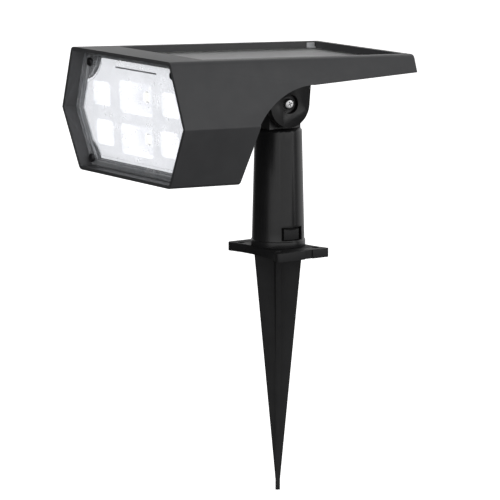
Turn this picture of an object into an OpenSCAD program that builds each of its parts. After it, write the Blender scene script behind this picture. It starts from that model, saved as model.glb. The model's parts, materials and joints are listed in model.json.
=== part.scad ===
// Solar flood light: a hexagonal lamp head with a solar panel tray, hinged on a post
// that snaps onto a ground stake with a drilled flange.
// Origin: the post's axis at the underside of the stake's flange. +Z up, the lamp faces -Y.

/* [Head] */
// Width of the head across the top of its front
head_top_w = 114; // [100:1:120]
// Width of the head across the side ridges
head_mid_w = 142; // [132:1:150]
// Width of the head across the bottom of its front
head_bot_w = 105; // [96:1:112]
// Height of the head's front
head_h = 77.5; // [74:0.5:84]
// Length of the head from the front rim to the rear end of the tray
head_len = 186; // [176:1:200]
// Length of the lamp box under the tray, at its side ridges
box_len = 56.2; // [54:0.2:60]
// Height of the tray's side skirt at its rear end
skirt_h = 11.2; // [10.5:0.1:13]
// Backward lean of the front face, in degrees
slant = 4; // [0:0.5:6]
// Share of the width that is left at the rear end
rear_taper = 0.924; // [0.9:0.002:1]
// Wall thickness of the head housing
head_wall = 2.2; // [1.8:0.1:2.6]
// Upward tilt of the lamp at rest, in degrees
head_tilt = 2; // [0:0.5:6]

/* [Lens and light source] */
// Depth of the front recess, from the rim to the lens
recess = 8.2; // [7.6:0.1:10.4]
// Thickness of the lens
lens_t = 2; // [1.6:0.1:2.6]
// Height that the lens's window stands out in front of its flange
lens_rise = 1.2; // [0.6:0.1:2]
// Thickness of the lens gasket
gasket_t = 1.5; // [1:0.1:2]
// Depth of the reflector cups
cup_depth = 9; // [7:0.5:10]
// Thickness of the light source board
led_board_t = 1.6; // [1.2:0.1:2]
// Diameter of the lens screws' heads
lens_screw_head_d = 5.6; // [5:0.1:6]

/* [Solar panel] */
// Width of the solar panel
panel_w = 94; // [84:1:96]
// Length of the solar panel
panel_len = 151; // [140:1:153]
// Thickness of the whole panel laminate
panel_t = 3; // [2.4:0.1:3.4]
// Depth of the panel's face below the tray rim
panel_drop = 4.4; // [3.6:0.1:5]
// Depth of the solid strip in front of the tray
strip_len = 27; // [24:0.5:32]

/* [Pivot] */
// Height of the pivot axis above the flange's underside
pivot_z = 97.5; // [90:0.5:110]
// Distance from the front face to the pivot axis
pivot_back = 117.3; // [112:0.1:122]
// Depth of the pivot axis below the tray rim
pivot_drop = 33.65; // [31:0.05:36]
// Width across the two bracket ears
ears_w = 26.8; // [24:0.2:29]
// Thickness of each ear
ear_t = 5; // [4.6:0.1:5.6]
// Radius of the round end of each ear
ear_r = 15; // [13:0.1:15.4]
// Diameter of the pivot bolt
bolt_d = 4; // [3.5:0.1:4.5]
// Diameter of the pivot bolt's head
bolt_head_d = 7; // [6.4:0.1:8]

/* [Post] */
// Diameter of the post at its foot
post_foot_d = 34.3; // [33:0.1:36]
// Diameter of the post at its shoulder
post_top_d = 30.3; // [29.6:0.1:32]
// Gap between the ears and the post's shoulder
shoulder_gap = 1; // [0.8:0.1:2.5]
// Wall thickness of the post
post_wall = 2.6; // [2.2:0.1:2.8]
// Width of the latch window in the post
window_w = 15.6; // [14.5:0.1:16]
// Height of the latch window in the post
window_h = 8.7; // [8:0.1:10]

/* [Stake] */
// Length of the flange
flange_len = 58; // [54:0.5:66]
// Width of the flange
flange_w = 40; // [38:0.5:46]
// Thickness of the flange
flange_t = 5.5; // [4.5:0.1:7]
// Spacing of the flange holes along its length
hole_dx = 43; // [41:0.5:48]
// Spacing of the flange holes across its width
hole_dy = 28; // [26:0.5:32]
// Diameter of the flange holes
hole_d = 4.5; // [3.5:0.1:5]
// Length of the stake below the flange
stake_len = 156; // [120:1:180]
// Width across the stake's blades under the flange
blade_w = 30.6; // [26:0.2:34]
// Thickness of the stake's blades
blade_t = 3; // [2.4:0.1:4]

/* [Battery and switch] */
// Diameter of the battery cell
cell_d = 18.4; // [18:0.1:18.6]
// Length of the battery cell
cell_len = 65; // [60:0.5:67]
// Diameter of the power button
button_d = 9.6; // [8:0.1:11]
// Travel of the power button
button_travel = 0.8; // [0.5:0.1:1]

/* [Hidden] */

$fn = 64;
eps = 0.01;              // thickness of a slice that hull() joins
cut = 1;                 // how far a cutting shape runs past what it cuts

// Clearances
fit_gap = 0.3;           // loose fit between moulded pieces
run_gap = 0.1;           // running fit of the bolt and of sliding faces
seat_gap = 0.05;         // gap round screws in their bosses

// Head outline: its right half from the top edge to the bottom edge, about the front's middle
ridge_drop = 0.86;       // the side ridge lies just below mid height
band_front = 2.85;       // upright band under the top edge, at the front
band_rear = 1.3;         // the same band at the rear end
band_out = 0.9;          // how far the band leans out
edge_r = [3.6, 1, 1.6, 4]; // rounding of the lengthwise edges, from the top edge to the bottom one
small_r = 0.5;           // rounding of an inner corner
hull_fn = 32;
rear_lean = 3.2;         // lean of the lamp box's rear face, in degrees

function taper(y) = 1 - (1 - rear_taper) * y / head_len;
function band(y) = band_front + (band_rear - band_front) * y / head_len;
function half(y) = [
    [head_top_w / 2, head_h / 2],
    [head_top_w / 2 + band_out, head_h / 2 - band(y)],
    [head_mid_w / 2, -ridge_drop],
    [head_bot_w / 2, -head_h / 2]];
// The whole outline, counter-clockwise, y behind the front rim
function outline(y) = let(h = half(y), k = taper(y), n = len(h)) concat(
    [for (i = [n - 1:-1:0]) [h[i][0] * k, h[i][1]]],
    [for (i = [0:n - 1]) [-h[i][0] * k, h[i][1]]]);
function unit(v) = v / norm(v);
// Corner i of a convex counter-clockwise outline, moved in by d from both its sides
function moved_in(p, i, d) = let(
    n = len(p),
    e1 = unit(p[i] - p[(i + n - 1) % n]),
    e2 = unit(p[(i + 1) % n] - p[i]),
    n1 = [-e1[1], e1[0]],
    n2 = [-e2[1], e2[0]]) p[i] + (n1 + n2) * d / (1 + n1 * n2);
function inset(p, d) = [for (i = [0:len(p) - 1]) moved_in(p, i, d)];

// Places in the head's own frame, whose origin is the pivot axis
mid_z = pivot_drop - head_h / 2;         // the front's mid height, below the pivot
rim_z = pivot_drop;                      // the tray rim
box_back = box_len - pivot_back;         // the lamp box's rear face, at the side ridges
inner_back = box_back - head_h / 2 * tan(rear_lean) - 2; // the inside of its rear wall
tray_front = strip_len - pivot_back;     // the tray pocket's front edge
side_gap = 0.5;                          // gap round the panel in its pocket
pocket_w = panel_w + 2 * side_gap;
pocket_len = panel_len + 2 * side_gap;
seal_t = 0.8;                            // thickness of the adhesive under the panel
floor_top = rim_z - panel_drop - panel_t - seal_t;
floor_t = 2.2;
floor_z = floor_top - floor_t;           // underside of the tray's floor
lens_y = recess;                         // the lens's front, behind the front rim
ledge_y = lens_y + lens_t + gasket_t;
ledge_t = 3;
ledge_w = 5.1;                           // how far the ledge stands in from the wall
cup_gap = 0.3;                           // gap between the lens and the reflector
reflector_dy = lens_t + cup_gap;         // places behind the lens's front, in the lens's frame
reflector_t = 1.5;
led_board_dy = reflector_dy + cup_depth + 0.2;
back_wall = 2.4;

// Lens screws, about the front's middle: right-hand ones, [x, z]
screw_spots = [[head_top_w / 2 - 9.5, head_h / 2 - 8.8], [head_bot_w / 2 - 2.8, -head_h / 2 + 7.6]];
lens_screw_d = 3;
lens_screw_len = 14;
lens_head_h = 1.8;
lens_boss_r = 3.9;
// Round hollows of the lens's window and of the reflector at the lens screws: offset and radius
hollow_at = [[12.4, 10.6], [11.7, -7.5]];
hollow_r = [23, 20];
window_in = 0.4;                         // from the ledge's edge in to the window's edge
window_up = 1.5;                         // how much narrower the ledge is along the top

// Reflector cups: [x, z, width, height], about the front's middle
cups = [[0, 10.8, 37, 20], [0, -15.6, 36, 19], [39.5, 10.4, 20, 15], [37, -14, 20, 16],
    [-39.5, 10.4, 20, 15], [-37, -14, 20, 16]];
cup_wall = 1;
cup_corner = 3;
chip_w = 5;
chip_t = 1.2;

// Light source board and its standoffs
led_board_w = 102;
led_board_top = 24;
led_board_bot = -25;
standoff_x = 24.5;
standoff_zs = [20, -3];
standoff_r = 3.4;
board_screw_d = 2.6;
board_screw_head_d = 5;
board_screw_head_h = 1.8;
board_screw_len = 10;

// Control board, on the lamp box's rear wall
ctrl_w = 34;
ctrl_h = 26;
ctrl_t = 1.6;
ctrl_z = 7;
ctrl_gap = 8.4;                          // from the rear wall to the board
pillar_r = 2.4;
button_gap = 0.2;                        // gap round the button in the wall
ctrl_screw_x = 14;
button_z = 4;
button_out = 1.6;                        // how far the button stands out of the wall
button_seat = 1.2;                       // height of the button's seat inside the wall
button_rim = 1.3;
button_rim_t = 1;
seal_ring_t = 0.6;
switch_w = 6;
plunger_r = 1.75;

// Battery, low in the lamp box
cell_z = mid_z - 22.5;
holder_pad = 2.5;                        // from the holder's back to the rear wall's lowest place
holder_wall = 1.6;
holder_gap = 0.15;
holder_pad_r = 3;
holder_screw_x = 40;
term_h = 1;                              // height of the cell's raised positive end
term_r = 3;

// Pivot bracket
plate_w = 62;
plate_len = 46;
plate_t = 3;
pad_t = 5.5;                             // thickness of the bracket round its screws
bracket_dx = 48;
bracket_dy = 32;
bracket_spots = [for (x = [-1, 1], y = [-1, 1]) [x * bracket_dx / 2, y * bracket_dy / 2]];
bracket_screw_d = 3;
bracket_screw_head_d = 5.8;
bracket_screw_len = 7;
bracket_pad_r = 5;
counterbore_r = 6;
counterbore_d = 3.4;
washer_t = 0.8;
washer_r = 4.6;
bolt_head_h = 2.2;
nut_w = 7;                               // across the flats
nut_t = 3.2;
ear_in = ears_w / 2 - ear_t;             // inner face of each ear
ear_lean = 0.7;                          // how far its rear edge leans back over the post
ear_flare = 4.5;                         // how much wider the ear is at its root, to the rear
friction_t = 0.8;
friction_r = 9;
tongue_w = 2 * (ear_in - friction_t - run_gap);
tongue_r = 12;

// Post
foot_gap = 0.2;                          // the post's foot sits this far above the flange
post_z0 = flange_t + foot_gap;
post_top = pivot_z - ear_r - shoulder_gap;
post_h = post_top - post_z0;
bead_h = 4.2;
bead_out = 0.35;
shoulder_r = 2;
spigot_h = 34;
socket_r = post_foot_d / 2 - post_wall - 0.05;
window_z = post_z0 + 9.1;                // the window's middle

// Stake
spigot_r = socket_r - 0.2;
spigot_wall = 2.4;
flange_corner = 2.5;
waist = 4.5;                             // hollow of the flange's long edges
notch_d = 1.2;                           // notch in the flange's end, under the latch
notch_w = 6.2;
notch_y = 0.6;
blade_turn = -atan2(flange_w, flange_len); // one blade runs to the flange's front right corner
core_r = 3.1;
tip_r = 1.1;
blade_tip_w = 2.6;
tip_len = 5;
slot_w = 12.4;                           // opening in the spigot for the latch finger
slot_top = flange_t + 27;
finger_gap = 0.4;
finger_w = slot_w - 2 * finger_gap;
finger_foot = flange_t + 1.6;
root_r = 1.1;                            // round root that the latch finger bends about
root_w = 5;
root_x = spigot_r - root_r - 0.25;
hook_gap = 0.55;                         // gap above and below the latch in its window
hook_out = 1.1;                          // the latch face lies this far inside the post's skin

// Where things on the post's surface are
function post_r(z) = post_foot_d / 2 + (post_top_d - post_foot_d) / 2 * (z - post_z0) / post_h;

// ---------- frames ----------
// The head's own frame, tilted about the pivot axis
module at_head() {
    translate([0, 0, pivot_z]) rotate([-head_tilt, 0, 0]) children();
}
// The lens's frame inside the head's: x across, z up the slanted face, y behind the lens flange
module in_lens_frame(y = 0) {
    translate([0, lens_y - pivot_back, mid_z]) rotate([slant, 0, 0]) translate([0, y, 0]) children();
}
module at_lens(y = 0) {
    at_head() in_lens_frame(y) children();
}
// A flat shape in the front's frame, from its own y = 0 back by t
module plate(t) {
    rotate([90, 0, 0]) mirror([0, 0, 1]) linear_extrude(t) children();
}
// A rod along +Y, from y = 0
module rod(r, l, r2 = -1) {
    rotate([-90, 0, 0]) cylinder(r1 = r, r2 = r2 < 0 ? r : r2, h = l);
}
// A screw along +Y: its head ends at y = 0, its shank runs to +l; the recess is a cross
module pan_screw(d, head_d, head_h, l) {
    difference() {
        union() {
            translate([0, -head_h, 0]) rod(head_d / 2 * 0.86, head_h * 0.35, head_d / 2);
            translate([0, -head_h * 0.65, 0]) rod(head_d / 2, head_h * 0.65);
            rod(d / 2, l - d / 2);
            translate([0, l - d / 2, 0]) rod(d / 2, d / 2, d / 8);
        }
        cross_recess(head_d, head_h);
    }
}
module cross_recess(head_d, head_h) {
    for (a = [45, 135]) rotate([0, a, 0])
        translate([-head_d * 0.3, -head_h - cut, -head_d * 0.06])
            cube([head_d * 0.6, cut + head_h * 0.6, head_d * 0.12]);
}

// ---------- head housing ----------
// The head's solid outline between y0 and y1 behind the rim, moved in by d all round
module head_solid(d, y0, y1) {
    radii = concat([for (i = [3:-1:0]) edge_r[i]], edge_r);
    hull() for (y = [y0, y1], i = [0:7])
        let(r = max(radii[i] - d, small_r), p = moved_in(outline(y), i, d + r))
        translate([0, y - pivot_back, mid_z]) rotate([slant, 0, 0]) translate([p[0], 0, p[1]])
            rotate([-90, 0, 0]) cylinder(r = r, h = eps, $fn = hull_fn);
}
// What is open under the tray behind the lamp box, seen from the side
arc_r = 61;              // the sides sweep up to the tray in an arc
arc_y = -14;
arc_z = -43.6;
skirt_rise = 3.6;        // slope of the skirt's lower edge, in degrees
skirt_y0 = -16.3;        // where the arc meets the skirt's straight edge
// The lamp box's rear face at height z
function back_face(z) = box_back + (z - mid_z + ridge_drop) * tan(rear_lean);
// A side outline, drawn as [y, z], across the whole width
module across() {
    w = head_mid_w + 2 * cut;
    translate([-w / 2, 0, 0]) rotate([90, 0, 90]) linear_extrude(w) children();
}
// Everything behind the lamp box's rear face moved back by d, up to height top
module behind_face(d, top) {
    low = mid_z - head_h;
    far = head_len + head_h;
    across() polygon([[back_face(low) + d, low], [far, low], [far, top], [back_face(top) + d, top]]);
}
module side_opening() {
    far = head_len - pivot_back + head_h * tan(slant) + cut;
    low = mid_z - head_h;
    rear_edge = rim_z - skirt_h;
    edge_end = rear_edge - tan(skirt_rise) * (head_len - pivot_back - far);
    edge_start = rear_edge - tan(skirt_rise) * (head_len - pivot_back - skirt_y0);
    across() union() {
        intersection() {
            translate([arc_y, arc_z]) circle(r = arc_r, $fn = 128);
            polygon([[back_face(low), low], [skirt_y0 + eps, low], [skirt_y0 + eps, rim_z],
                [back_face(rim_z), rim_z]]);
        }
        polygon([[skirt_y0, low], [far, low], [far, edge_end], [skirt_y0, edge_start]]);
    }
}
module head_housing() {
    color("dimgray") at_head() difference() {
        union() {
            difference() {
                head_solid(0, 0, head_len);
                // front recess, down to the ledge
                head_solid(head_wall, -cut, ledge_y);
                // opening inside the ledge
                in_lens_frame() plate(ledge_y - lens_y + ledge_t + cut)
                    polygon(inset(window_corners(ledge_y), head_wall + ledge_w));
                lamp_box_room();
            }
            housing_bosses();
        }
        side_opening();
        // hollow under the tray, between the skirts
        intersection() {
            head_solid(head_wall, box_len / 2, head_len - head_wall);
            behind_face(0, floor_z);
        }
        // tray pocket
        translate([-pocket_w / 2, tray_front, floor_top]) cube([pocket_w, pocket_len, head_h]);
        housing_holes();
    }
}
// The room behind the ledge, under the tray's front wall and floor
module lamp_box_room() {
    difference() {
        head_solid(head_wall, ledge_y + ledge_t, head_len / 2);
        behind_face(-back_wall, rim_z);
        translate([-head_mid_w / 2, tray_front - floor_t, floor_z]) cube([head_mid_w, head_len, head_h]);
    }
}
module housing_bosses() {
    // behind the lens screws
    intersection() {
        head_solid(head_wall / 2, ledge_y, ledge_y + lens_screw_len);
        in_lens_frame(ledge_y - lens_y) for (s = [-1, 1], p = screw_spots)
            translate([s * p[0], 0, p[1]]) rod(lens_boss_r, lens_screw_len);
    }
    // standoffs of the light source board, from the rear wall
    in_lens_frame(led_board_dy + led_board_t) for (s = [-1, 1], z = standoff_zs)
        translate([s * standoff_x, 0, z]) rod(standoff_r, box_len - ledge_y);
    // short pillars of the control board
    for (s = [-1, 1]) translate([s * ctrl_screw_x, ctrl_back, ctrl_screw_z])
        rod(pillar_r, ctrl_gap + back_wall);
    // pads of the battery holder
    for (s = [-1, 1]) translate([s * holder_screw_x, holder_back, cell_z]) rod(holder_pad_r, back_wall + 3);
    // flat seat round the power button
    translate([0, button_face, button_z]) rod(button_d / 2 + button_rim + 1, button_seat + back_wall);
}
wall_y = box_back - back_wall;           // inside of the rear wall, at the side ridges
ctrl_back = wall_y - ctrl_gap;           // the control board's face towards the rear wall
ctrl_screw_z = ctrl_z + ctrl_h / 2 - 3;
button_face = wall_y - button_seat;      // the button's seat inside
holder_back = inner_back - holder_pad;   // rear face of the battery holder
module housing_holes() {
    in_lens_frame() {
        for (s = [-1, 1], p = screw_spots) translate([s * p[0], 0, p[1]])
            rod(lens_screw_d / 2 + seat_gap, lens_screw_len + lens_t);
        for (s = [-1, 1], z = standoff_zs) translate([s * standoff_x, led_board_dy, z])
            rod(board_screw_d / 2 + seat_gap, board_screw_len + 1);
    }
    // power button
    translate([0, button_face - cut, button_z])
        rod(button_d / 2 + button_gap, button_seat + back_wall + 3 * cut);
    // control board and battery holder screws
    for (s = [-1, 1]) {
        translate([s * ctrl_screw_x, ctrl_back - cut, ctrl_screw_z]) rod(ctrl_screw_d / 2 + seat_gap, 7);
        translate([s * holder_screw_x, holder_back - cut, cell_z]) rod(ctrl_screw_d / 2 + seat_gap, 5.4);
    }
    // lead hole from the tray into the lamp box
    translate([lead_x, lead_y, floor_z - cut]) cylinder(r = lead_hole_r, h = floor_t + 2 * cut);
    // bracket screws, countersunk from above
    for (p = bracket_spots) translate([p[0], p[1], floor_top]) {
        translate([0, 0, -floor_t - cut]) cylinder(r = bracket_screw_d / 2 + run_gap, h = floor_t + cut + 1);
        translate([0, 0, -bracket_screw_head_d / 4]) cylinder(r1 = bracket_screw_d / 2 + run_gap,
            r2 = bracket_screw_head_d / 2 + 0.2, h = bracket_screw_head_d / 4 + eps);
    }
}
ctrl_screw_d = 2;
ctrl_screw_head_d = 4;
ctrl_screw_head_h = 1.5;
lead_x = 12;
lead_y = tray_front + 12;
lead_hole_r = 3;

// ---------- lens ----------
// The head's outline at y behind the rim, moved in by d
module front_outline(d, y) {
    polygon(inset(outline(y), d));
}
// The corners that the window's outline is moved in from: the head's, without the upright band
function window_corners(y) = let(
    slope = (head_mid_w / 2 - head_top_w / 2 - band_out) / (head_h / 2 - band(y) + ridge_drop),
    k = taper(y),
    top = [head_top_w / 2 + band_out - (band(y) + window_up) * slope, head_h / 2 + window_up],
    ridge = [head_mid_w / 2, -ridge_drop],
    low = [head_bot_w / 2, -head_h / 2]) concat(
    [for (c = [low, ridge, top]) [c[0] * k, c[1]]],
    [for (c = [top, ridge, low]) [-c[0] * k, c[1]]]);
// The gap round a plate that reaches dy behind the lens's front, where the lens's frame leans away
function lean_gap(dy) = fit_gap + dy * sin(slant);
module lens_cover() {
    color([0.85, 0.9, 0.95, 0.5]) at_lens() difference() {
        union() {
            plate(lens_t) front_outline(head_wall + lean_gap(lens_t), lens_y + lens_t);
            translate([0, -lens_rise, 0]) plate(lens_rise + eps) window_outline(0);
        }
        // the window is hollow behind, so that its wall stays even
        translate([0, lens_t - lens_rise, 0]) plate(lens_rise + cut) window_outline(lens_t);
        for (s = [-1, 1], p = screw_spots) translate([s * p[0], -cut, p[1]])
            rod(lens_screw_d / 2 + 0.2, lens_t + 2 * cut);
    }
}
// The window's outline moved in by d, with a round hollow at each screw
module window_outline(d) {
    difference() {
        polygon(inset(window_corners(ledge_y), head_wall + ledge_w + window_in + d));
        for (s = [-1, 1], i = [0, 1])
            translate([s * (screw_spots[i][0] + hollow_at[i][0]), screw_spots[i][1] + hollow_at[i][1]])
                circle(r = hollow_r[i] + d);
    }
}
module lens_gasket() {
    d = head_wall + lean_gap(lens_t + gasket_t);
    color("gainsboro") at_lens() difference() {
        translate([0, lens_t, 0]) plate(gasket_t) difference() {
            front_outline(d, ledge_y);
            front_outline(d + 2.6, ledge_y);
        }
        for (s = [-1, 1], p = screw_spots) translate([s * p[0], 0, p[1]])
            rod(lens_screw_d / 2 + fit_gap, ledge_y);
    }
}
module lens_screws() {
    color("black") at_lens() for (s = [-1, 1], p = screw_spots) translate([s * p[0], 0, p[1]])
        pan_screw(lens_screw_d, lens_screw_head_d, lens_head_h, lens_screw_len);
}

// ---------- reflector and light source ----------
// A rectangle with round corners
module rounded_box(w, h, r) {
    translate([-w / 2 + r, -h / 2]) square([w - 2 * r, h]);
    translate([-w / 2, -h / 2 + r]) square([w, h - 2 * r]);
    for (x = [-1, 1], y = [-1, 1]) translate([x * (w / 2 - r), y * (h / 2 - r)]) circle(r = r, $fn = 32);
}
module reflector() {
    slit_z = head_h / 2 - 10.6;
    color("white") at_lens(reflector_dy) difference() {
        union() {
            plate(reflector_t) window_outline(0);
            for (c = cups) translate([c[0], 0, c[1]]) plate(cup_depth)
                rounded_box(c[2] + 2 * cup_wall, c[3] + 2 * cup_wall, cup_corner + cup_wall);
        }
        for (c = cups) translate([c[0], -cut, c[1]]) plate(cup_depth - cup_wall + cut)
            rounded_box(c[2], c[3], cup_corner);
        // the light source shows through each cup's floor
        for (c = cups) translate([c[0], 0, c[1]]) rod(chip_w * 0.8, cup_depth + cut);
        translate([0, -cut, slit_z]) plate(reflector_t + 2 * cut) square([49, 1.3], center = true);
    }
}
module led_board() {
    color("whitesmoke") at_lens(led_board_dy) difference() {
        translate([0, 0, (led_board_top + led_board_bot) / 2]) plate(led_board_t)
            rounded_box(led_board_w, led_board_top - led_board_bot, 3);
        for (s = [-1, 1], z = standoff_zs) translate([s * standoff_x, -cut, z])
            rod(board_screw_d / 2 + 0.2, led_board_t + 2 * cut);
    }
}
module led_chips() {
    color("gold") at_lens(led_board_dy - chip_t) for (c = cups) translate([c[0], 0, c[1]])
        plate(chip_t) square(chip_w, center = true);
}
module led_board_screws() {
    color("silver") at_lens(led_board_dy) for (s = [-1, 1], z = standoff_zs)
        translate([s * standoff_x, 0, z])
            pan_screw(board_screw_d, board_screw_head_d, board_screw_head_h, board_screw_len);
}

// ---------- control board, switch and button ----------
ctrl_front = ctrl_back - ctrl_t;         // the control board's face towards the lens
module control_board() {
    color("darkgreen") at_head() difference() {
        translate([-ctrl_w / 2, ctrl_front, ctrl_z - ctrl_h / 2]) cube([ctrl_w, ctrl_t, ctrl_h]);
        for (s = [-1, 1]) translate([s * ctrl_screw_x, ctrl_front - cut, ctrl_screw_z])
            rod(ctrl_screw_d / 2 + 0.2, ctrl_t + 2 * cut);
    }
}
plug_w = 6;
plug_d = 5;
plug_h = 4.5;
plug_xs = [-10, 0, 10];
plug_dz = -ctrl_h / 2 + 1;                // the sockets' underside, from the board's middle
module board_parts() {
    color("ivory") at_head() translate([0, ctrl_front, ctrl_z]) {
        for (x = plug_xs) translate([x - plug_w / 2, -plug_d, plug_dz]) cube([plug_w, plug_d, plug_h]);
        // charge coil, chip and capacitor
        translate([-6, 0, 6]) rotate([90, 0, 0]) cylinder(r = 3.6, h = 3.4);
        translate([3, -1.6, -1]) cube([7, 1.6, 6]);
        translate([-15, -2.2, -3]) cube([4, 2.2, 5]);
    }
}
module control_board_screws() {
    color("silver") at_head() for (s = [-1, 1]) translate([s * ctrl_screw_x, ctrl_front, ctrl_screw_z])
        pan_screw(ctrl_screw_d, ctrl_screw_head_d, ctrl_screw_head_h, 6.5);
}
switch_body_d = 3.4;
rim_front = button_face - seal_ring_t - button_rim_t;   // the button rim's face towards the switch
module push_switch() {
    body_back = ctrl_back + switch_body_d;
    color("dimgray") at_head() {
        translate([-switch_w / 2, ctrl_back, button_z - switch_w / 2])
            cube([switch_w, switch_body_d, switch_w]);
        translate([0, body_back - eps, button_z])
            rod(plunger_r, rim_front - button_travel - run_gap - body_back + eps);
    }
}
module power_button() {
    face = back_face(button_z) + button_out;
    edge = 0.8;
    color("darkslategray") at_head() translate([0, 0, button_z]) {
        translate([0, rim_front, 0]) rod(button_d / 2 + button_rim, button_rim_t);
        translate([0, rim_front, 0]) rod(button_d / 2, face - edge - rim_front);
        translate([0, face - edge - eps, 0]) rod(button_d / 2, edge + eps, button_d / 2 - edge);
    }
}
module button_seal() {
    color("black") at_head() translate([0, button_face - seal_ring_t, button_z]) difference() {
        rod(button_d / 2 + button_rim, seal_ring_t);
        translate([0, -cut, 0]) rod(button_d / 2 + 0.25, seal_ring_t + 2 * cut);
    }
}

// ---------- battery ----------
cell_y = holder_back - holder_wall - holder_gap - cell_d / 2;
module battery_cell() {
    color("royalblue") at_head() translate([-cell_len / 2, cell_y, cell_z]) rotate([0, 90, 0]) {
        cylinder(r = cell_d / 2, h = cell_len - term_h);
        translate([0, 0, cell_len - term_h - eps]) cylinder(r = term_r, h = term_h + eps);
    }
}
module battery_holder() {
    len_in = cell_len + 2 * holder_gap;
    len_out = len_in + 2 * holder_wall;
    r_in = cell_d / 2 + holder_gap;
    r_out = r_in + holder_wall;
    lip = 4;             // how far its walls reach in front of the cell's axis
    tab_t = 2;
    color("dimgray") at_head() translate([0, cell_y, cell_z]) difference() {
        union() {
            translate([-len_out / 2, -lip, -r_out]) cube([len_out, lip + r_out, 2 * r_out]);
            // tabs that take the screws
            translate([-holder_screw_x - 4, r_out - tab_t, -4]) cube([2 * holder_screw_x + 8, tab_t, 8]);
        }
        translate([-len_in / 2, 0, 0]) rotate([0, 90, 0]) cylinder(r = r_in, h = len_in);
        translate([-len_in / 2, -lip - cut, -r_in]) cube([len_in, lip + cut, 2 * r_in]);
        for (s = [-1, 1]) translate([s * holder_screw_x, 0, 0]) rod(ctrl_screw_d / 2 + 0.2, r_out + cut);
    }
}
module battery_screws() {
    color("silver") at_head() for (s = [-1, 1]) translate([s * holder_screw_x, holder_back - 2, cell_z])
        pan_screw(ctrl_screw_d, ctrl_screw_head_d, ctrl_screw_head_h, 6);
}

// ---------- solar panel ----------
back_t = 1.2;
cell_t = 0.3;
cell_cols = 6;
cell_gap = 1.2;
panel_edge = 4;
panel_y = tray_front + side_gap;
panel_z = floor_top + seal_t;
module panel_board() {
    color("seagreen") at_head() translate([-panel_w / 2, panel_y, panel_z])
        cube([panel_w, panel_len, back_t]);
}
// A block where each cell lies, from dz below its underside, t thick
module cell_blocks(dz, t) {
    pitch = (panel_w - 2 * panel_edge + cell_gap) / cell_cols;
    half_len = (panel_len - 2 * panel_edge - cell_gap) / 2;
    for (i = [0:cell_cols - 1], j = [0, 1])
        translate([-panel_w / 2 + panel_edge + i * pitch,
            panel_y + panel_edge + j * (half_len + cell_gap), panel_z + back_t - dz])
            cube([pitch - cell_gap, half_len, t]);
}
module solar_cells() {
    color("midnightblue") at_head() cell_blocks(0, cell_t);
}
module panel_glass() {
    color([0.5, 0.55, 0.6, 0.4]) at_head() difference() {
        translate([-panel_w / 2, panel_y, panel_z + back_t]) cube([panel_w, panel_len, panel_t - back_t]);
        cell_blocks(cut, cell_t + cut);
    }
}
module panel_seal() {
    bead_w = 4;
    inset_w = 1;         // from the panel's edge in to the bead
    w = panel_w - 2 * inset_w;
    l = panel_len - 2 * inset_w;
    color("black") at_head() translate([-w / 2, panel_y + inset_w, floor_top]) difference() {
        cube([w, l, seal_t]);
        translate([bead_w, bead_w, -cut]) cube([w - 2 * bead_w, l - 2 * bead_w, seal_t + 2 * cut]);
    }
}
// Small clips in the rear corners of the pocket, over the panel's edge
module panel_clips() {
    clip_len = 6;
    clip_w = 2.4;
    top_z = floor_top + seal_t + panel_t;
    clip_t = 1;
    clip_h = 3.6;
    clip_y = tray_front + pocket_len - clip_len - 1;
    color("lightgray") at_head() for (s = [-1, 1]) translate([s * pocket_w / 2, clip_y, top_z]) {
        translate([s > 0 ? -clip_w : 0, 0, 0]) cube([clip_w, clip_len, clip_t]);
        translate([s > 0 ? -clip_t : 0, 0, 0]) cube([clip_t, clip_len, clip_h]);
    }
}

// ---------- internal leads ----------
lead_r = 1.1;
// A round lead through the points p, with a ball at each bend
module lead(p) {
    for (i = [0:len(p) - 2]) {
        v = p[i + 1] - p[i];
        l = norm(v);
        translate(p[i]) rotate([0, acos(v[2] / l), atan2(v[1], v[0])]) cylinder(r = lead_r, h = l, $fn = 24);
    }
    for (i = [1:len(p) - 2]) translate(p[i]) sphere(r = lead_r * 1.06, $fn = 24);
}
// The places where the three leads meet the control board's sockets
function plug_spot(i) = [plug_xs[i], ctrl_front - plug_d, ctrl_z + plug_dz + plug_h / 2];
module panel_lead() {
    e = plug_spot(2);
    color("red") at_head() lead([[lead_x, lead_y, panel_z], [lead_x, lead_y, floor_z - 5],
        [e[0], e[1] - 4, e[2]], e]);
}
module led_lead() {
    e = plug_spot(1);
    // it leaves the light source board's leaning rear face at height z, and turns down to its socket
    z = e[2] + 3;
    board_back = lens_y - pivot_back + (led_board_dy + led_board_t) / cos(slant) - (z - mid_z) * tan(slant);
    turn = e[1] - 4;
    color("white") at_head() lead([[-4, board_back + lead_r * tan(slant) + eps, z], [-4, turn, z],
        [e[0], turn, e[2]], e]);
}
module battery_lead() {
    e = plug_spot(0);
    x0 = -cell_len / 2 - holder_gap - holder_wall;
    over = cell_z + cell_d / 2 + holder_gap + holder_wall + lead_r + 1.5;
    color("black") at_head() lead([[x0, cell_y, cell_z], [x0 - 2.5, cell_y, cell_z],
        [x0 - 2, cell_y - 2, over], [e[0] - 4, e[1] - 3, over], [e[0], e[1] - 3, e[2]], e]);
}

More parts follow.
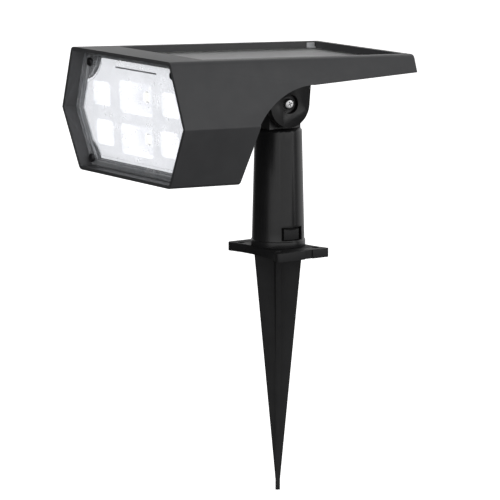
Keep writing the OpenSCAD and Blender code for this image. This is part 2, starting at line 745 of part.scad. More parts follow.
// ---------- pivot ----------
// A short rod along +X
module xrod(r, l) {
    rotate([0, 90, 0]) cylinder(r = r, h = l);
}
module pivot_bracket() {
    ear_top = floor_z - plate_t / 2;
    color("dimgray") at_head() difference() {
        union() {
            translate([-plate_w / 2, -plate_len / 2, floor_z - plate_t]) cube([plate_w, plate_len, plate_t]);
            for (p = bracket_spots) translate([p[0], p[1], floor_z - pad_t])
                cylinder(r = bracket_pad_r, h = pad_t);
            for (s = [0, 1]) mirror([s, 0, 0]) translate([ear_in, 0, 0]) {
                xrod(ear_r, ear_t);
                rotate([90, 0, 90]) linear_extrude(ear_t)
                    polygon([[-ear_r, 0], [ear_r, 0], [ear_r + ear_lean, ear_r], [ear_r + ear_flare, ear_top],
                        [-ear_r, ear_top]]);
                // web that braces the ear against the plate
                rotate([90, 0, 0]) translate([ear_t, 0, -1.5]) linear_extrude(3)
                    polygon([[-eps, ear_top - 7], [9, ear_top], [-eps, ear_top]]);
            }
        }
        translate([-ears_w, 0, 0]) xrod(bolt_d / 2 + run_gap, 2 * ears_w);
        translate([ears_w / 2 - counterbore_d, 0, 0]) xrod(counterbore_r, counterbore_d + cut);
        translate([-ears_w / 2 - cut, 0, 0]) rotate([0, 90, 0])
            cylinder(r = (nut_w + 0.3) / sqrt(3), h = counterbore_d + cut, $fn = 6);
        for (p = bracket_spots) translate([p[0], p[1], floor_z - bracket_screw_len])
            cylinder(r = bracket_screw_d / 2 + seat_gap, h = bracket_screw_len + cut);
    }
}
module bracket_screws() {
    head_h = bracket_screw_head_d / 4;
    color("silver") at_head() for (p = bracket_spots)
        translate([p[0], p[1], floor_top]) difference() {
            union() {
                translate([0, 0, -head_h])
                    cylinder(r1 = bracket_screw_d / 2, r2 = bracket_screw_head_d / 2, h = head_h);
                translate([0, 0, -bracket_screw_len])
                    cylinder(r = bracket_screw_d / 2, h = bracket_screw_len - 1);
            }
            rotate([90, 0, 0]) cross_recess(bracket_screw_head_d, 0.6);
        }
}
bolt_face = ears_w / 2 - counterbore_d;      // bottom of the counterbore
module pivot_bolt() {
    under_head = bolt_face + washer_t;
    color("silver") at_head() translate([under_head, 0, 0]) rotate([0, 0, 90])
        pan_screw(bolt_d, bolt_head_d, bolt_head_h, under_head + bolt_face + nut_t + 0.8);
}
module bolt_washer() {
    color("silver") at_head() translate([bolt_face, 0, 0]) difference() {
        xrod(washer_r, washer_t);
        translate([-cut, 0, 0]) xrod(bolt_d / 2 + run_gap, washer_t + 2 * cut);
    }
}
module pivot_nut() {
    color("silver") at_head() translate([-bolt_face - nut_t, 0, 0]) difference() {
        rotate([0, 90, 0]) cylinder(r = nut_w / sqrt(3), h = nut_t, $fn = 6);
        translate([-cut, 0, 0]) xrod(bolt_d / 2 + seat_gap, nut_t + 2 * cut);
    }
}
module friction_washers() {
    color("black") at_head() for (s = [-1, 1]) translate([s > 0 ? ear_in - friction_t : -ear_in, 0, 0])
        difference() {
            xrod(friction_r, friction_t);
            translate([-cut, 0, 0]) xrod(bolt_d / 2 + run_gap, friction_t + 2 * cut);
        }
}

// ---------- post ----------
module post() {
    steps = 6;
    r_top = post_top_d / 2;
    r_foot = post_foot_d / 2;
    r_in = r_top - post_wall;
    color("dimgray") difference() {
        union() {
            translate([0, 0, post_z0]) rotate_extrude() polygon(concat(
                [[0, 0], [r_foot + bead_out, 0], [r_foot + bead_out, bead_h - bead_out],
                    [r_foot - 0.25, bead_h]],
                [for (i = [0:steps]) let(a = 90 * i / steps)
                    [r_top - shoulder_r + shoulder_r * cos(a), post_h - shoulder_r + shoulder_r * sin(a)]],
                [[0, post_h]]));
            // tongue between the ears
            translate([-tongue_w / 2, -tongue_r, post_top - shoulder_r])
                cube([tongue_w, 2 * tongue_r, pivot_z - post_top + shoulder_r]);
            translate([-tongue_w / 2, 0, pivot_z]) xrod(tongue_r, tongue_w);
        }
        translate([-tongue_w, 0, pivot_z]) xrod(bolt_d / 2 + run_gap, 2 * tongue_w);
        // bore of the post, closed by its shoulder
        translate([0, 0, post_z0 + spigot_h + 1]) cylinder(r = r_in, h = post_h - spigot_h - 1 - post_wall);
        // socket for the stake's spigot
        translate([0, 0, post_z0 - cut]) cylinder(r = socket_r, h = spigot_h + 1 + cut);
        translate([socket_r - 4, -window_w / 2, window_z - window_h / 2]) cube([12, window_w, window_h]);
    }
}

// ---------- stake ----------
module ground_stake() {
    color("black") difference() {
        union() {
            flange();
            translate([0, 0, flange_t - eps]) cylinder(r = spigot_r, h = spigot_h + eps);
            for (a = [0, 90]) rotate([0, 0, blade_turn + a]) blade();
            translate([0, 0, -stake_len + tip_len])
                cylinder(r1 = tip_r, r2 = core_r, h = stake_len - tip_len);
        }
        translate([0, 0, flange_t]) cylinder(r = spigot_r - spigot_wall, h = spigot_h + cut);
        // opening for the latch finger
        translate([spigot_r - spigot_wall - 2, -slot_w / 2, flange_t + 1])
            cube([spigot_wall + 4, slot_w, slot_top - flange_t - 1]);
        translate([root_x, 0, slot_top]) rotate([90, 0, 0])
            cylinder(r = root_r + run_gap, h = root_w + 2 * fit_gap, center = true);
        for (x = [-1, 1], y = [-1, 1]) translate([x * hole_dx / 2, y * hole_dy / 2, -cut])
            cylinder(r = hole_d / 2, h = flange_t + 2 * cut);
    }
}
module flange() {
    l = flange_len / 2 - flange_corner;
    w = flange_w / 2 - flange_corner;
    chord = flange_len / 2 - flange_corner;
    waist_r = (chord * chord + waist * waist) / (2 * waist);
    difference() {
        union() {
            translate([-l, -flange_w / 2, 0]) cube([2 * l, flange_w, flange_t]);
            translate([-flange_len / 2, -w, 0]) cube([flange_len, 2 * w, flange_t]);
            for (x = [-1, 1], y = [-1, 1]) translate([x * l, y * w, 0])
                cylinder(r = flange_corner, h = flange_t);
        }
        for (s = [-1, 1]) translate([0, s * (flange_w / 2 - waist + waist_r), -cut])
            cylinder(r = waist_r, h = flange_t + 2 * cut, $fn = 180);
        translate([flange_len / 2 - notch_d, notch_y, -cut])
            cube([notch_d + cut, notch_w, flange_t + 2 * cut]);
    }
}
// One pair of blades, tapering to the tip
module blade() {
    top = blade_w / 2;
    rotate([90, 0, 0]) translate([0, 0, -blade_t / 2]) linear_extrude(blade_t)
        polygon([[-top, 0.5], [-blade_tip_w / 2, -stake_len + tip_len], [0, -stake_len],
            [blade_tip_w / 2, -stake_len + tip_len], [top, 0.5]]);
}
// The finger of the snap latch: it hangs from a round root in the spigot and fills the post's window
module latch_tab() {
    hook_face = post_r(window_z) - hook_out;
    hook_w = window_w - 4.2;
    hook_h = window_h - 2 * hook_gap;
    finger_top = slot_top - finger_gap;
    color("black") union() {
        translate([root_x, 0, slot_top]) rotate([90, 0, 0]) cylinder(r = root_r, h = root_w, center = true);
        translate([root_x - 0.8, -root_w / 2, finger_top - 1]) cube([1.6, root_w, slot_top - finger_top + 1]);
        intersection() {
            translate([0, 0, finger_foot]) difference() {
                cylinder(r = spigot_r - 0.2, h = finger_top - finger_foot);
                translate([0, 0, -cut])
                    cylinder(r = spigot_r - spigot_wall, h = finger_top - finger_foot + 2 * cut);
            }
            translate([0, -finger_w / 2, finger_foot])
                cube([2 * spigot_r, finger_w, finger_top - finger_foot]);
        }
        // the catch, with a sloped upper lip that rides into the post
        intersection() {
            rotate([90, 0, 0]) translate([0, 0, -hook_w / 2]) linear_extrude(hook_w)
                polygon([[spigot_r - 1.4, window_z - hook_h / 2], [spigot_r + 4, window_z - hook_h / 2],
                    [spigot_r + 4, window_z + hook_h / 2 - 3.2], [spigot_r - 0.6, window_z + hook_h / 2],
                    [spigot_r - 1.4, window_z + hook_h / 2]]);
            cylinder(r = hook_face, h = pivot_z);
        }
    }
}

head_housing();
lens_cover();
lens_gasket();
lens_screws();
reflector();
led_board();
led_chips();
led_board_screws();
control_board();
board_parts();
control_board_screws();
push_switch();
power_button();
button_seal();
battery_cell();
battery_holder();
battery_screws();
panel_board();
solar_cells();
panel_glass();
panel_seal();
panel_clips();
panel_lead();
led_lead();
battery_lead();
pivot_bracket();
bracket_screws();
pivot_bolt();
bolt_washer();
pivot_nut();
friction_washers();
post();
ground_stake();
latch_tab();
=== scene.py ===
# %% [markdown]
# # A solar flood light
# A black moulded lamp head with a solar panel on its top, hinged on a post that stands on a
# ground stake. The engineering model gives every part's real size and place, so this lesson
# opens it first and builds the looks round it: rounded edges, screws with real heads, a lit
# light source, ruled solar cells, and a finish for every part.

# %% Open the engineering model
import bpy
import json
import math
from mathutils import Matrix, Vector


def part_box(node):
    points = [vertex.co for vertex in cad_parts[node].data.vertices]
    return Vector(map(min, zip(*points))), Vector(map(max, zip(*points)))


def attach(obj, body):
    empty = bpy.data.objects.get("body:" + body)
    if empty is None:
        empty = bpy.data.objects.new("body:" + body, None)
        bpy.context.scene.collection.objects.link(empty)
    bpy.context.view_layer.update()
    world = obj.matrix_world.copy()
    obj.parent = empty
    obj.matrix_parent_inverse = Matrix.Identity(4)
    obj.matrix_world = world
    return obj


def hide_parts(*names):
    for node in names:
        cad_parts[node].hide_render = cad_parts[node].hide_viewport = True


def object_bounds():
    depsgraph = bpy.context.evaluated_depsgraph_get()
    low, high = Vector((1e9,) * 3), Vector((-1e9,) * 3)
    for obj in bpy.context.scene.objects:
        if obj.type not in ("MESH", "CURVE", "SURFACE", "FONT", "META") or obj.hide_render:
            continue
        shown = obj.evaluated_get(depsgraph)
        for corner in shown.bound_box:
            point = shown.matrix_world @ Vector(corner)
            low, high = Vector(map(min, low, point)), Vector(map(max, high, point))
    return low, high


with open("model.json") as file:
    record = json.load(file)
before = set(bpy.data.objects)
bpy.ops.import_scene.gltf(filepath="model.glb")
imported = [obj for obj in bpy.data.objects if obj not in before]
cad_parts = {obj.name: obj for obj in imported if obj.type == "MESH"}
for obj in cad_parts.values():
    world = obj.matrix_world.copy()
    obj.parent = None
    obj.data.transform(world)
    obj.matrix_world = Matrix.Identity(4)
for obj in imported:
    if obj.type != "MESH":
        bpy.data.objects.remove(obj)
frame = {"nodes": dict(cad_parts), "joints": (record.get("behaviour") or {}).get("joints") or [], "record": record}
cad_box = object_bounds()
nodes = frame["nodes"]
bodies = frame["record"]["behaviour"]["bodies"]
body_of = {node: body for body, held in bodies.items() for node in held}
slot_of = {part["node"]: part["material_slot"] for part in frame["record"]["subparts"]}

# %% [markdown]
# ## The camera
# A long lens keeps the edges of the head almost parallel. The camera stands well in front, to
# the lamp's left, and looks a little down, so that the tray's top shows as a thin strip.

# %% Set up the camera
AZIMUTH = math.radians(55.5)
ELEVATION = math.radians(9.764)
LOOK_AT = Vector((0.00294, -0.02386, 0.00486))
DISTANCE = 1.90775
FOCAL_LENGTH = 216
SENSOR_WIDTH = 36


def add_camera():
    back = Vector((math.sin(AZIMUTH) * math.cos(ELEVATION),
                   -math.cos(AZIMUTH) * math.cos(ELEVATION),
                   math.sin(ELEVATION)))
    data = bpy.data.cameras.new("camera")
    data.lens = FOCAL_LENGTH
    data.sensor_width = SENSOR_WIDTH
    camera = bpy.data.objects.new("camera", data)
    bpy.context.collection.objects.link(camera)
    camera.location = LOOK_AT + back * DISTANCE
    camera.rotation_euler = (-back).to_track_quat("-Z", "Y").to_euler()
    bpy.context.scene.camera = camera
    return camera


camera = add_camera()
print("camera at", [round(v, 3) for v in camera.location])

# %% [markdown]
# ## Helpers for modelling
# Every operator acts on what is selected, so each step starts by selecting one thing only. A
# finished piece keeps its object at the origin and its place in its mesh.

# %% Selecting, applying and placing
MM = 0.001


def only(piece):
    for other in list(bpy.context.selected_objects):
        other.select_set(False)
    piece.select_set(True)
    bpy.context.view_layer.objects.active = piece


def apply_all(piece):
    only(piece)
    for modifier in list(piece.modifiers):
        bpy.ops.object.modifier_apply(modifier=modifier.name)


def smooth(piece, degrees=35):
    only(piece)
    bpy.ops.object.shade_smooth_by_angle(angle=math.radians(degrees))


def put_at(piece, matrix):
    only(piece)
    piece.matrix_world = matrix
    bpy.ops.object.transform_apply(location=True, rotation=True, scale=True)


def stand_for(piece, node):
    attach(piece, body_of[node])
    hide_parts(node)
    return piece


print("helpers ready")

# %% [markdown]
# ## Places on the head
# The head is tilted up a little, so new pieces on it must lean with it. The tilt is read from
# the button's sliding direction, and the pivot's place from its joint.

# %% The head's tilt and pivot
joints = {joint["name"]: joint for joint in frame["joints"]}
PIVOT = Vector(joints["head_tilt"]["pos_m"])
press = Vector(joints["button_press"]["axis"])
TILT = math.atan2(press.z, -press.y)
print("head tilt", round(math.degrees(TILT), 2), "degrees, pivot height", round(PIVOT.z, 4), "m")

# %% [markdown]
# ## Moulded parts with rounded edges
# A moulded part has no knife edges: each catches a thin line of light. The engineering model's
# edges are sharp, so a copy of each visible part is cleaned (its loose triangles are merged and
# flat faces joined) and then every sharp edge gets a small bevel.

# %% Copy a part and round its edges
SAME_POINT = 2e-6
FLAT_WITHIN = math.radians(0.3)
SHARP_FROM = math.radians(30)
ROUND_STEPS = 2


def rounded_copy(node, name, width):
    copy = nodes[node].copy()
    copy.data = nodes[node].data.copy()
    for key in list(copy.keys()):
        del copy[key]
    copy.parent = None
    copy.name = name
    copy.data.name = name
    bpy.context.collection.objects.link(copy)
    only(copy)
    bpy.ops.object.mode_set(mode="EDIT")
    bpy.ops.mesh.select_all(action="SELECT")
    bpy.ops.mesh.remove_doubles(threshold=SAME_POINT)
    bpy.ops.mesh.dissolve_limited(angle_limit=FLAT_WITHIN)
    bpy.ops.object.mode_set(mode="OBJECT")
    bevel = copy.modifiers.new("edges", "BEVEL")
    bevel.width = width * MM
    bevel.segments = ROUND_STEPS
    bevel.limit_method = "ANGLE"
    bevel.angle_limit = SHARP_FROM
    bevel.use_clamp_overlap = True
    apply_all(copy)
    smooth(copy)
    return stand_for(copy, node)


housing = rounded_copy("head_housing", "housing_shell", 0.3)
bracket = rounded_copy("pivot_bracket", "bracket_moulding", 0.3)
post = rounded_copy("post", "post_moulding", 0.3)
stake = rounded_copy("ground_stake", "stake_moulding", 0.35)
latch = rounded_copy("latch_tab", "latch_moulding", 0.2)
cover = rounded_copy("lens_cover", "cover_plate", 0.25)
for piece in (housing, bracket, post, stake, latch, cover):
    print(piece.name, len(piece.data.polygons), "faces")

# %% [markdown]
# ## Screws with round heads
# A pan head is a short cylinder with a generous round on its top edge and a cross-shaped
# recess. One head is modelled lying on the origin, pointing up, and its copies are turned into
# place. The recess is cut by a cross of two tapered bars.

# %% Model a pan-head screw


def recess_cutter(width, depth, height):
    """A tapered cross that stands in the top of a head of that height."""
    bars = []
    for turn in (0, 90):
        bpy.ops.mesh.primitive_cube_add(size=1, location=(0, 0, 0))
        bar = bpy.context.object
        bar.scale = (width, width * 0.2, depth * 2)
        bar.rotation_euler = (0, 0, math.radians(turn))
        bar.location = (0, 0, height)
        bpy.ops.object.transform_apply(location=True, rotation=True, scale=True)
        low = [v for v in bar.data.vertices if v.co.z < height]
        for corner in low:
            corner.co.x *= 0.55
            corner.co.y *= 0.55
        bars.append(bar)
    only(bars[0])
    bars[1].select_set(True)
    bpy.ops.object.join()
    return bars[0]


def pan_head_screw(name, shank, head, height, length):
    """A screw along +Z with the underside of its head at the origin's level."""
    bpy.ops.mesh.primitive_cylinder_add(vertices=48, radius=head / 2, depth=height,
                                        location=(0, 0, height / 2))
    top = bpy.context.object
    top.name = name
    only(top)
    bpy.ops.object.transform_apply(location=True, rotation=True, scale=True)
    bpy.ops.object.mode_set(mode="EDIT")
    bpy.ops.mesh.select_all(action="DESELECT")
    bpy.ops.object.mode_set(mode="OBJECT")
    for edge in top.data.edges:
        ends = [top.data.vertices[i].co.z for i in edge.vertices]
        edge.select = min(ends) > height * 0.99
    bpy.ops.object.mode_set(mode="EDIT")
    bpy.ops.mesh.bevel(offset=height * 0.62, segments=6, affect="EDGES")
    bpy.ops.object.mode_set(mode="OBJECT")
    cutter = recess_cutter(head * 0.58, height * 0.62, height)
    cut = top.modifiers.new("recess", "BOOLEAN")
    cut.operation = "DIFFERENCE"
    cut.object = cutter
    cut.solver = "EXACT"
    cut.use_self = True
    apply_all(top)
    bpy.data.objects.remove(cutter)
    bpy.ops.mesh.primitive_cylinder_add(vertices=24, radius=shank / 2, depth=length,
                                        location=(0, 0, -length / 2 + 0.01 * MM))
    body = bpy.context.object
    only(top)
    body.select_set(True)
    bpy.ops.object.join()
    smooth(top, 30)
    return top


def joined(pieces, name):
    only(pieces[0])
    for piece in pieces[1:]:
        piece.select_set(True)
    bpy.ops.object.join()
    pieces[0].name = name
    pieces[0].data.name = name
    return pieces[0]


low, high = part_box("pivot_bolt")
bolt_head = 2.2 * MM
bolt = pan_head_screw("tilt_bolt", 4 * MM, 7 * MM, bolt_head, high.x - bolt_head - low.x)
put_at(bolt, Matrix.Translation((high.x - bolt_head, PIVOT.y, PIVOT.z))
       @ Matrix.Rotation(math.radians(90), 4, "Y") @ Matrix.Rotation(math.radians(20), 4, "Z"))
stand_for(bolt, "pivot_bolt")
print("bolt from", round(low.x, 4), "to", round(high.x, 4))

# %% [markdown]
# The four cover screws sit in the clear cover's corners and point square into the leaning front
# face. Each one's place is the middle of its own box in the engineering model.

# %% Place the four cover screws


def loose_parts(node):
    """The middle points and boxes of the separate solids in one part."""
    copy = nodes[node].data.copy()
    temp = bpy.data.objects.new("temp", copy)
    bpy.context.collection.objects.link(temp)
    only(temp)
    bpy.ops.object.mode_set(mode="EDIT")
    bpy.ops.mesh.select_all(action="SELECT")
    bpy.ops.mesh.remove_doubles(threshold=SAME_POINT)
    bpy.ops.mesh.separate(type="LOOSE")
    bpy.ops.object.mode_set(mode="OBJECT")
    parts = list(bpy.context.selected_objects)
    boxes = []
    for part in parts:
        points = [v.co for v in part.data.vertices]
        boxes.append((Vector([min(p[i] for p in points) for i in range(3)]),
                      Vector([max(p[i] for p in points) for i in range(3)])))
    for part in parts:
        bpy.data.objects.remove(part)
    return boxes


SCREW_HEAD = 1.8 * MM
SHANK_LENGTH = 14 * MM
FRONT_LEAN = math.radians(4) - TILT
heads = []
for low, high in loose_parts("lens_screws"):
    screw = pan_head_screw("cover_screw", 3 * MM, 5.6 * MM, SCREW_HEAD, SHANK_LENGTH)
    # the box holds shank and head, so the head's seat lies this far ahead of its middle
    along = Vector((0, -math.cos(FRONT_LEAN), -math.sin(FRONT_LEAN)))
    middle = (low + high) / 2
    seat = middle + along * (SHANK_LENGTH - SCREW_HEAD) / 2
    put_at(screw, Matrix.Translation(seat) @ along.to_track_quat("Z", "X").to_matrix().to_4x4())
    heads.append(screw)
cover_screws = stand_for(joined(heads, "cover_screws"), "lens_screws")
print(len(heads), "cover screws")

# %% [markdown]
# ## The reflector
# The white reflector has six cups with soft edges. Like the clips and the button, its copy gets
# a small bevel.

# %% Round the reflector, the clips and the button
reflector = rounded_copy("reflector", "reflector_moulding", 0.25)
clips = rounded_copy("panel_clips", "panel_clip_pair", 0.25)
button = rounded_copy("power_button", "button_cap", 0.25)
print(reflector.name, len(reflector.data.polygons), "faces")

# %% [markdown]
# ## Finishes
# Every finish is a few nodes: a slow noise that drifts the colour, a fine noise for the mould's
# texture in roughness and bump. They read Object coordinates in metres, so a grain of 0.2 mm
# is 0.2 mm on every part.

# %% A helper for textured finishes


def start(name):
    material = bpy.data.materials.new(name)
    material.use_nodes = True
    tree = material.node_tree
    return material, tree, tree.nodes["Principled BSDF"]


def node(tree, kind, **settings):
    made = tree.nodes.new(kind)
    for key, value in settings.items():
        setattr(made, key, value)
    return made


def noise(tree, size, detail=3):
    """A noise whose spots are about that many metres across."""
    place = node(tree, "ShaderNodeTexCoord")
    spots = node(tree, "ShaderNodeTexNoise")
    spots.inputs["Scale"].default_value = 1 / size
    spots.inputs["Detail"].default_value = detail
    tree.links.new(place.outputs["Object"], spots.inputs["Vector"])
    return spots.outputs["Fac"]


def ramp(tree, value, stops):
    colours = node(tree, "ShaderNodeValToRGB")
    band = colours.color_ramp
    while len(band.elements) < len(stops):
        band.elements.new(0.5)
    for element, (at, colour) in zip(band.elements, stops):
        element.position = at
        element.color = (*colour, 1)
    tree.links.new(value, colours.inputs["Fac"])
    return colours.outputs["Color"]


def spread(tree, value, low, high):
    ranged = node(tree, "ShaderNodeMapRange")
    ranged.inputs["To Min"].default_value = low
    ranged.inputs["To Max"].default_value = high
    tree.links.new(value, ranged.inputs["Value"])
    return ranged.outputs["Result"]


def bump(tree, shader, height, strength, distance):
    raised = node(tree, "ShaderNodeBump")
    raised.inputs["Strength"].default_value = strength
    raised.inputs["Distance"].default_value = distance
    tree.links.new(height, raised.inputs["Height"])
    tree.links.new(raised.outputs["Normal"], shader.inputs["Normal"])


def textured(name, dark, light, rough, grain=0.25 * MM, patch=12 * MM, relief=0.02 * MM,
             strength=0.35, metallic=0.0):
    """A finish whose colour drifts from dark to light, with a fine grain; rough is (low, high)."""
    material, tree, shader = start(name)
    slow = noise(tree, patch, 2)
    fine = noise(tree, grain)
    tree.links.new(ramp(tree, slow, [(0.3, dark), (0.7, light)]), shader.inputs["Base Color"])
    tree.links.new(spread(tree, fine, *rough), shader.inputs["Roughness"])
    bump(tree, shader, fine, strength, relief)
    shader.inputs["Metallic"].default_value = metallic
    return material


print("finish helpers ready")

# %% [markdown]
# ### Moulded plastics, rubber and metal
# The head is a satin dark grey plastic with a fine spark-eroded texture. The ears and the post
# are smoother, so that they carry clear streaks of light, and their colour is far blacker than
# the head's: that blackness is painted shade, for the shadow they lie in under the head. The
# stake is a coarser and blacker recycled plastic. Screws are zinc plated, with a faint grain,
# and the cover's screws are black.

# %% Plain finishes
finishes = {
    "housing_black": textured("satin_black", (0.062, 0.063, 0.066), (0.07, 0.071, 0.074),
                              (0.42, 0.56)),
    # painted shade: the ears and post are coloured far blacker than the head for the shadow under it
    "post_black": textured("polished_black_painted_shade", (0.012, 0.012, 0.013), (0.017, 0.017, 0.018),
                           (0.26, 0.36), relief=0.01 * MM),
    "stake_black": textured("coarse_black", (0.008, 0.008, 0.009), (0.014, 0.014, 0.015),
                            (0.5, 0.72), grain=0.4 * MM, relief=0.05 * MM, strength=0.5),
    "board_white": textured("white_mask", (0.78, 0.79, 0.78), (0.86, 0.86, 0.84), (0.25, 0.4)),
    "board_green": textured("green_mask", (0.015, 0.11, 0.045), (0.03, 0.17, 0.07), (0.25, 0.42),
                            patch=2.5 * MM),
    "part_ivory": textured("moulded_ivory", (0.62, 0.59, 0.49), (0.74, 0.7, 0.6), (0.35, 0.5)),
    "switch_dark": textured("moulded_dark", (0.02, 0.02, 0.023), (0.035, 0.035, 0.04), (0.4, 0.6)),
    "screw_steel": textured("zinc_plate", (0.55, 0.55, 0.56), (0.72, 0.72, 0.73), (0.16, 0.34),
                            grain=0.3 * MM, patch=1.5 * MM, relief=0.004 * MM, metallic=1.0),
    "screw_black": textured("black_oxide", (0.01, 0.01, 0.011), (0.025, 0.025, 0.028), (0.3, 0.45),
                            grain=0.3 * MM, relief=0.01 * MM, metallic=0.2),
    "rubber_black": textured("black_rubber", (0.014, 0.014, 0.015), (0.026, 0.026, 0.028),
                             (0.55, 0.75), grain=0.2 * MM),
    "rubber_grey": textured("grey_silicone", (0.32, 0.33, 0.34), (0.42, 0.43, 0.44), (0.35, 0.5)),
    "cell_blue": textured("blue_sleeve", (0.02, 0.07, 0.28), (0.035, 0.11, 0.38), (0.2, 0.35),
                          patch=8 * MM),
    "panel_backing": textured("glass_fibre", (0.6, 0.62, 0.58), (0.75, 0.76, 0.72), (0.4, 0.55),
                              grain=0.5 * MM),
    "clip_grey": textured("moulded_grey", (0.5, 0.51, 0.53), (0.6, 0.61, 0.63), (0.35, 0.5)),
    "lead_red": textured("red_lead", (0.4, 0.012, 0.012), (0.5, 0.025, 0.02), (0.35, 0.5)),
    "lead_white": textured("white_lead", (0.65, 0.65, 0.62), (0.75, 0.75, 0.72), (0.35, 0.5)),
    "lead_black": textured("black_lead", (0.012, 0.012, 0.012), (0.022, 0.022, 0.022), (0.35, 0.5)),
}
print(len(finishes), "finishes started")

# %% [markdown]
# ### The light
# The lamp is lit. Six chips sit behind the reflector's cups and glow as lamps do. The white
# reflector is no lamp, yet it glows all over: painted light for the chips' light on it, drifting
# a little with a slow noise.

# %% Glowing finishes
LIGHTER = 1.15


# a glow for lamps, and also painted light on parts that are no lamp
def lamp_and_painted_glow(name, colour, dim, bright, patch):
    material, tree, shader = start(name)
    slow = noise(tree, patch, 1)
    lighter = [part * LIGHTER for part in colour]
    tree.links.new(ramp(tree, slow, [(0.35, colour), (0.65, lighter)]), shader.inputs["Base Color"])
    tree.links.new(spread(tree, slow, dim, bright), shader.inputs["Emission Strength"])
    shader.inputs["Emission Color"].default_value = (0.97, 0.98, 1, 1)
    shader.inputs["Roughness"].default_value = 0.3
    return material


# painted light: the reflector is no lamp, and its glow stands for the chips' light falling on it
finishes["reflector_white"] = lamp_and_painted_glow("painted_glow_white", (0.5, 0.5, 0.53), 1.08, 1.16, 9 * MM)
finishes["led_phosphor"] = lamp_and_painted_glow("lit_phosphor", (0.6, 0.56, 0.42), 1.15, 1.35, 1 * MM)
print("glowing finishes ready")

# %% [markdown]
# ### Clear parts
# The panel's face is a clear laminate with a satin texture, which refracts what lies under it.
# The front cover is thin clear plastic: only a part of its finish shows, and the rest of the
# light passes straight through, so that the pieces behind it stay lit.

# %% Clear finishes


def clear(name, tint, ior, rough, seen=1.0):
    """A clear finish; seen below 1 lets that much less of it show, and light passes straight."""
    material, tree, shader = start(name)
    fine = noise(tree, 6 * MM, 3)
    tree.links.new(ramp(tree, fine, [(0.2, tint), (0.8, (1, 1, 1))]), shader.inputs["Base Color"])
    tree.links.new(spread(tree, fine, *rough), shader.inputs["Roughness"])
    shader.inputs["IOR"].default_value = ior
    shader.inputs["Alpha"].default_value = seen
    shader.inputs["Transmission Weight"].default_value = 1.0 if seen == 1.0 else 0.0
    return material


finishes["clear_cover"] = clear("clear_moulding", (0.42, 0.45, 0.5), 1.49, (0.02, 0.08), 0.3)
finishes["panel_glass"] = clear("clear_laminate", (0.95, 0.97, 0.98), 1.5, (0.36, 0.44))
print("clear finishes ready")

# %% [markdown]
# ### Solar cells
# Real cells are almost black blue, ruled with fine silver fingers that run to two wider
# ribbons. The lines come from each point's place across the panel: the remainder after whole
# pitches says how near the next line is. The place is first moved by whole metres, so that the
# remainder is never taken of a negative number.

# %% Ruled solar cells
WELL_POSITIVE = 10


def lines(tree, coordinate, pitch, width):
    """1 on lines that wide, one every pitch along the coordinate, else 0."""
    moved = node(tree, "ShaderNodeMath", operation="ADD")
    moved.inputs[1].default_value = WELL_POSITIVE
    tree.links.new(coordinate, moved.inputs[0])
    rest = node(tree, "ShaderNodeMath", operation="MODULO")
    rest.inputs[1].default_value = pitch
    tree.links.new(moved.outputs[0], rest.inputs[0])
    near = node(tree, "ShaderNodeMath", operation="LESS_THAN")
    near.inputs[1].default_value = width
    tree.links.new(rest.outputs[0], near.inputs[0])
    return near.outputs[0]


def ruled_cells():
    material, tree, shader = start("solar_cell")
    place = node(tree, "ShaderNodeTexCoord")
    parts = node(tree, "ShaderNodeSeparateXYZ")
    tree.links.new(place.outputs["Object"], parts.inputs["Vector"])
    fingers = lines(tree, parts.outputs["Y"], 1.8 * MM, 0.16 * MM)
    ribbons = lines(tree, parts.outputs["X"], 7.25 * MM, 0.9 * MM)
    both = node(tree, "ShaderNodeMath", operation="MAXIMUM")
    tree.links.new(fingers, both.inputs[0])
    tree.links.new(ribbons, both.inputs[1])
    silicon = ramp(tree, noise(tree, 5 * MM, 4),
                   [(0.3, (0.006, 0.008, 0.022)), (0.7, (0.014, 0.02, 0.05))])
    mixed = node(tree, "ShaderNodeMix", data_type="RGBA")
    tree.links.new(both.outputs[0], mixed.inputs["Factor"])
    tree.links.new(silicon, mixed.inputs["A"])
    mixed.inputs["B"].default_value = (0.55, 0.56, 0.58, 1)
    tree.links.new(mixed.outputs["Result"], shader.inputs["Base Color"])
    tree.links.new(spread(tree, both.outputs[0], 0.25, 0.4), shader.inputs["Roughness"])
    return material


finishes["solar_dark"] = ruled_cells()
print("cells ruled")

# %% Give every part its finish


def paint(piece, material):
    piece.data.materials.clear()
    piece.data.materials.append(material)


for name, part in nodes.items():
    slots = part.material_slots
    if slots:
        slots[0].material = finishes[slot_of[name]]
for piece, name in ((housing, "head_housing"), (bracket, "pivot_bracket"), (post, "post"),
                    (stake, "ground_stake"), (latch, "latch_tab"), (cover, "lens_cover"),
                    (bolt, "pivot_bolt"), (cover_screws, "lens_screws"), (reflector, "reflector"),
                    (clips, "panel_clips"), (button, "power_button")):
    paint(piece, finishes[slot_of[name]])
print("all parts finished")

# %% [markdown]
# ## The studio
# A plain pale floor, one big soft light from the front, a second from above and a narrow one
# from the side, which draws a line of light down the post. The surroundings are a dim room with
# one bright wall beside the lamp and one behind it: black plastic shows its shape mostly by
# what it reflects. The floor is there for the camera only and throws no light upwards.

# %% Floor, lights and surroundings
FLOOR_SIZE = 60
FLOOR_GAP = 0.2 * MM
SURROUND = 1.08


def add_floor(height):
    bpy.ops.mesh.primitive_plane_add(size=FLOOR_SIZE, location=(0, 0, height))
    floor = bpy.context.object
    floor.name = "studio_floor"
    material, tree, shader = start("pale_floor")
    pale = ramp(tree, noise(tree, 0.4, 2), [(0.3, (0.93, 0.93, 0.93)), (0.7, (0.96, 0.96, 0.96))])
    tree.links.new(pale, shader.inputs["Base Color"])
    shader.inputs["Roughness"].default_value = 0.9
    shader.inputs["Emission Color"].default_value = (1, 1, 1, 1)
    shader.inputs["Emission Strength"].default_value = 1.0
    paint(floor, material)
    floor.visible_glossy = False
    floor.visible_diffuse = False


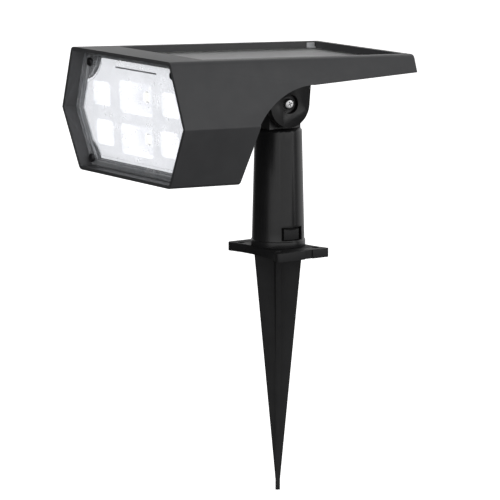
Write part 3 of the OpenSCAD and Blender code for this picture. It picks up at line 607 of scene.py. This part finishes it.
def add_light(name, place, target, size, power, size_y=None):
    data = bpy.data.lights.new(name, "AREA")
    data.energy = power
    data.size = size
    if size_y:
        data.shape = "RECTANGLE"
        data.size_y = size_y
    light = bpy.data.objects.new(name, data)
    bpy.context.collection.objects.link(light)
    light.location = place
    light.rotation_euler = (Vector(target) - Vector(place)).to_track_quat("-Z", "Y").to_euler()


def toward(tree, direction, axis, dark, lit):
    """How far a direction points along an axis: 0 below dark, 1 above lit."""
    dot = node(tree, "ShaderNodeVectorMath", operation="DOT_PRODUCT")
    dot.inputs[1].default_value = axis
    tree.links.new(direction, dot.inputs[0])
    ranged = node(tree, "ShaderNodeMapRange", interpolation_type="SMOOTHSTEP")
    ranged.inputs["From Min"].default_value = dark
    ranged.inputs["From Max"].default_value = lit
    tree.links.new(dot.outputs["Value"], ranged.inputs["Value"])
    return ranged.outputs["Result"]


def combine(tree, operation, first, second):
    made = node(tree, "ShaderNodeMath", operation=operation)
    for socket, value in zip(made.inputs, (first, second)):
        if isinstance(value, (int, float)):
            socket.default_value = value
        else:
            tree.links.new(value, socket)
    return made.outputs[0]


def add_surroundings():
    """A room with one bright wall beside the lamp, one behind it, and little light from below."""
    world = bpy.data.worlds.new("studio")
    bpy.context.scene.world = world
    world.use_nodes = True
    tree = world.node_tree
    direction = node(tree, "ShaderNodeTexCoord").outputs["Generated"]
    beside = toward(tree, direction, (0.94, -0.342, 0), 0.42, 0.66)
    behind = toward(tree, direction, (-0.508, 0.861, 0), 0.4, 0.75)
    walls = combine(tree, "MAXIMUM", beside, behind)
    parts = node(tree, "ShaderNodeSeparateXYZ")
    tree.links.new(direction, parts.inputs["Vector"])
    height = node(tree, "ShaderNodeMapRange")
    height.inputs["From Min"].default_value = -1
    tree.links.new(parts.outputs["Z"], height.inputs["Value"])
    levels = [(0.0, 0.12), (0.38, 0.45), (0.5, 0.9), (0.66, 1.0), (0.8, 0.5), (1.0, 0.4)]
    shade = ramp(tree, height.outputs["Result"], [(at, (v, v, v)) for at, v in levels])
    lit = combine(tree, "MULTIPLY_ADD", walls, 0.93)
    lit.node.inputs[2].default_value = 0.07
    strength = combine(tree, "MULTIPLY", combine(tree, "MULTIPLY", lit, shade), SURROUND)
    tree.links.new(strength, tree.nodes["Background"].inputs["Strength"])
    tree.nodes["Background"].inputs["Color"].default_value = (1, 1, 1, 1)


add_floor(cad_box[0].z - FLOOR_GAP)
add_surroundings()
add_light("front_softbox", (0.6, -1.6, 1.2), (0, 0, 0.05), 1.2, 5)
add_light("top_softbox", (0.0, 0.2, 1.6), (0, 0, 0.1), 1.4, 3)
add_light("side_strip", (1.1, 0.9, 0.4), (0, 0, 0.05), 0.25, 1.6, 1.2)
bpy.context.scene.view_settings.view_transform = "Standard"
print("studio ready")
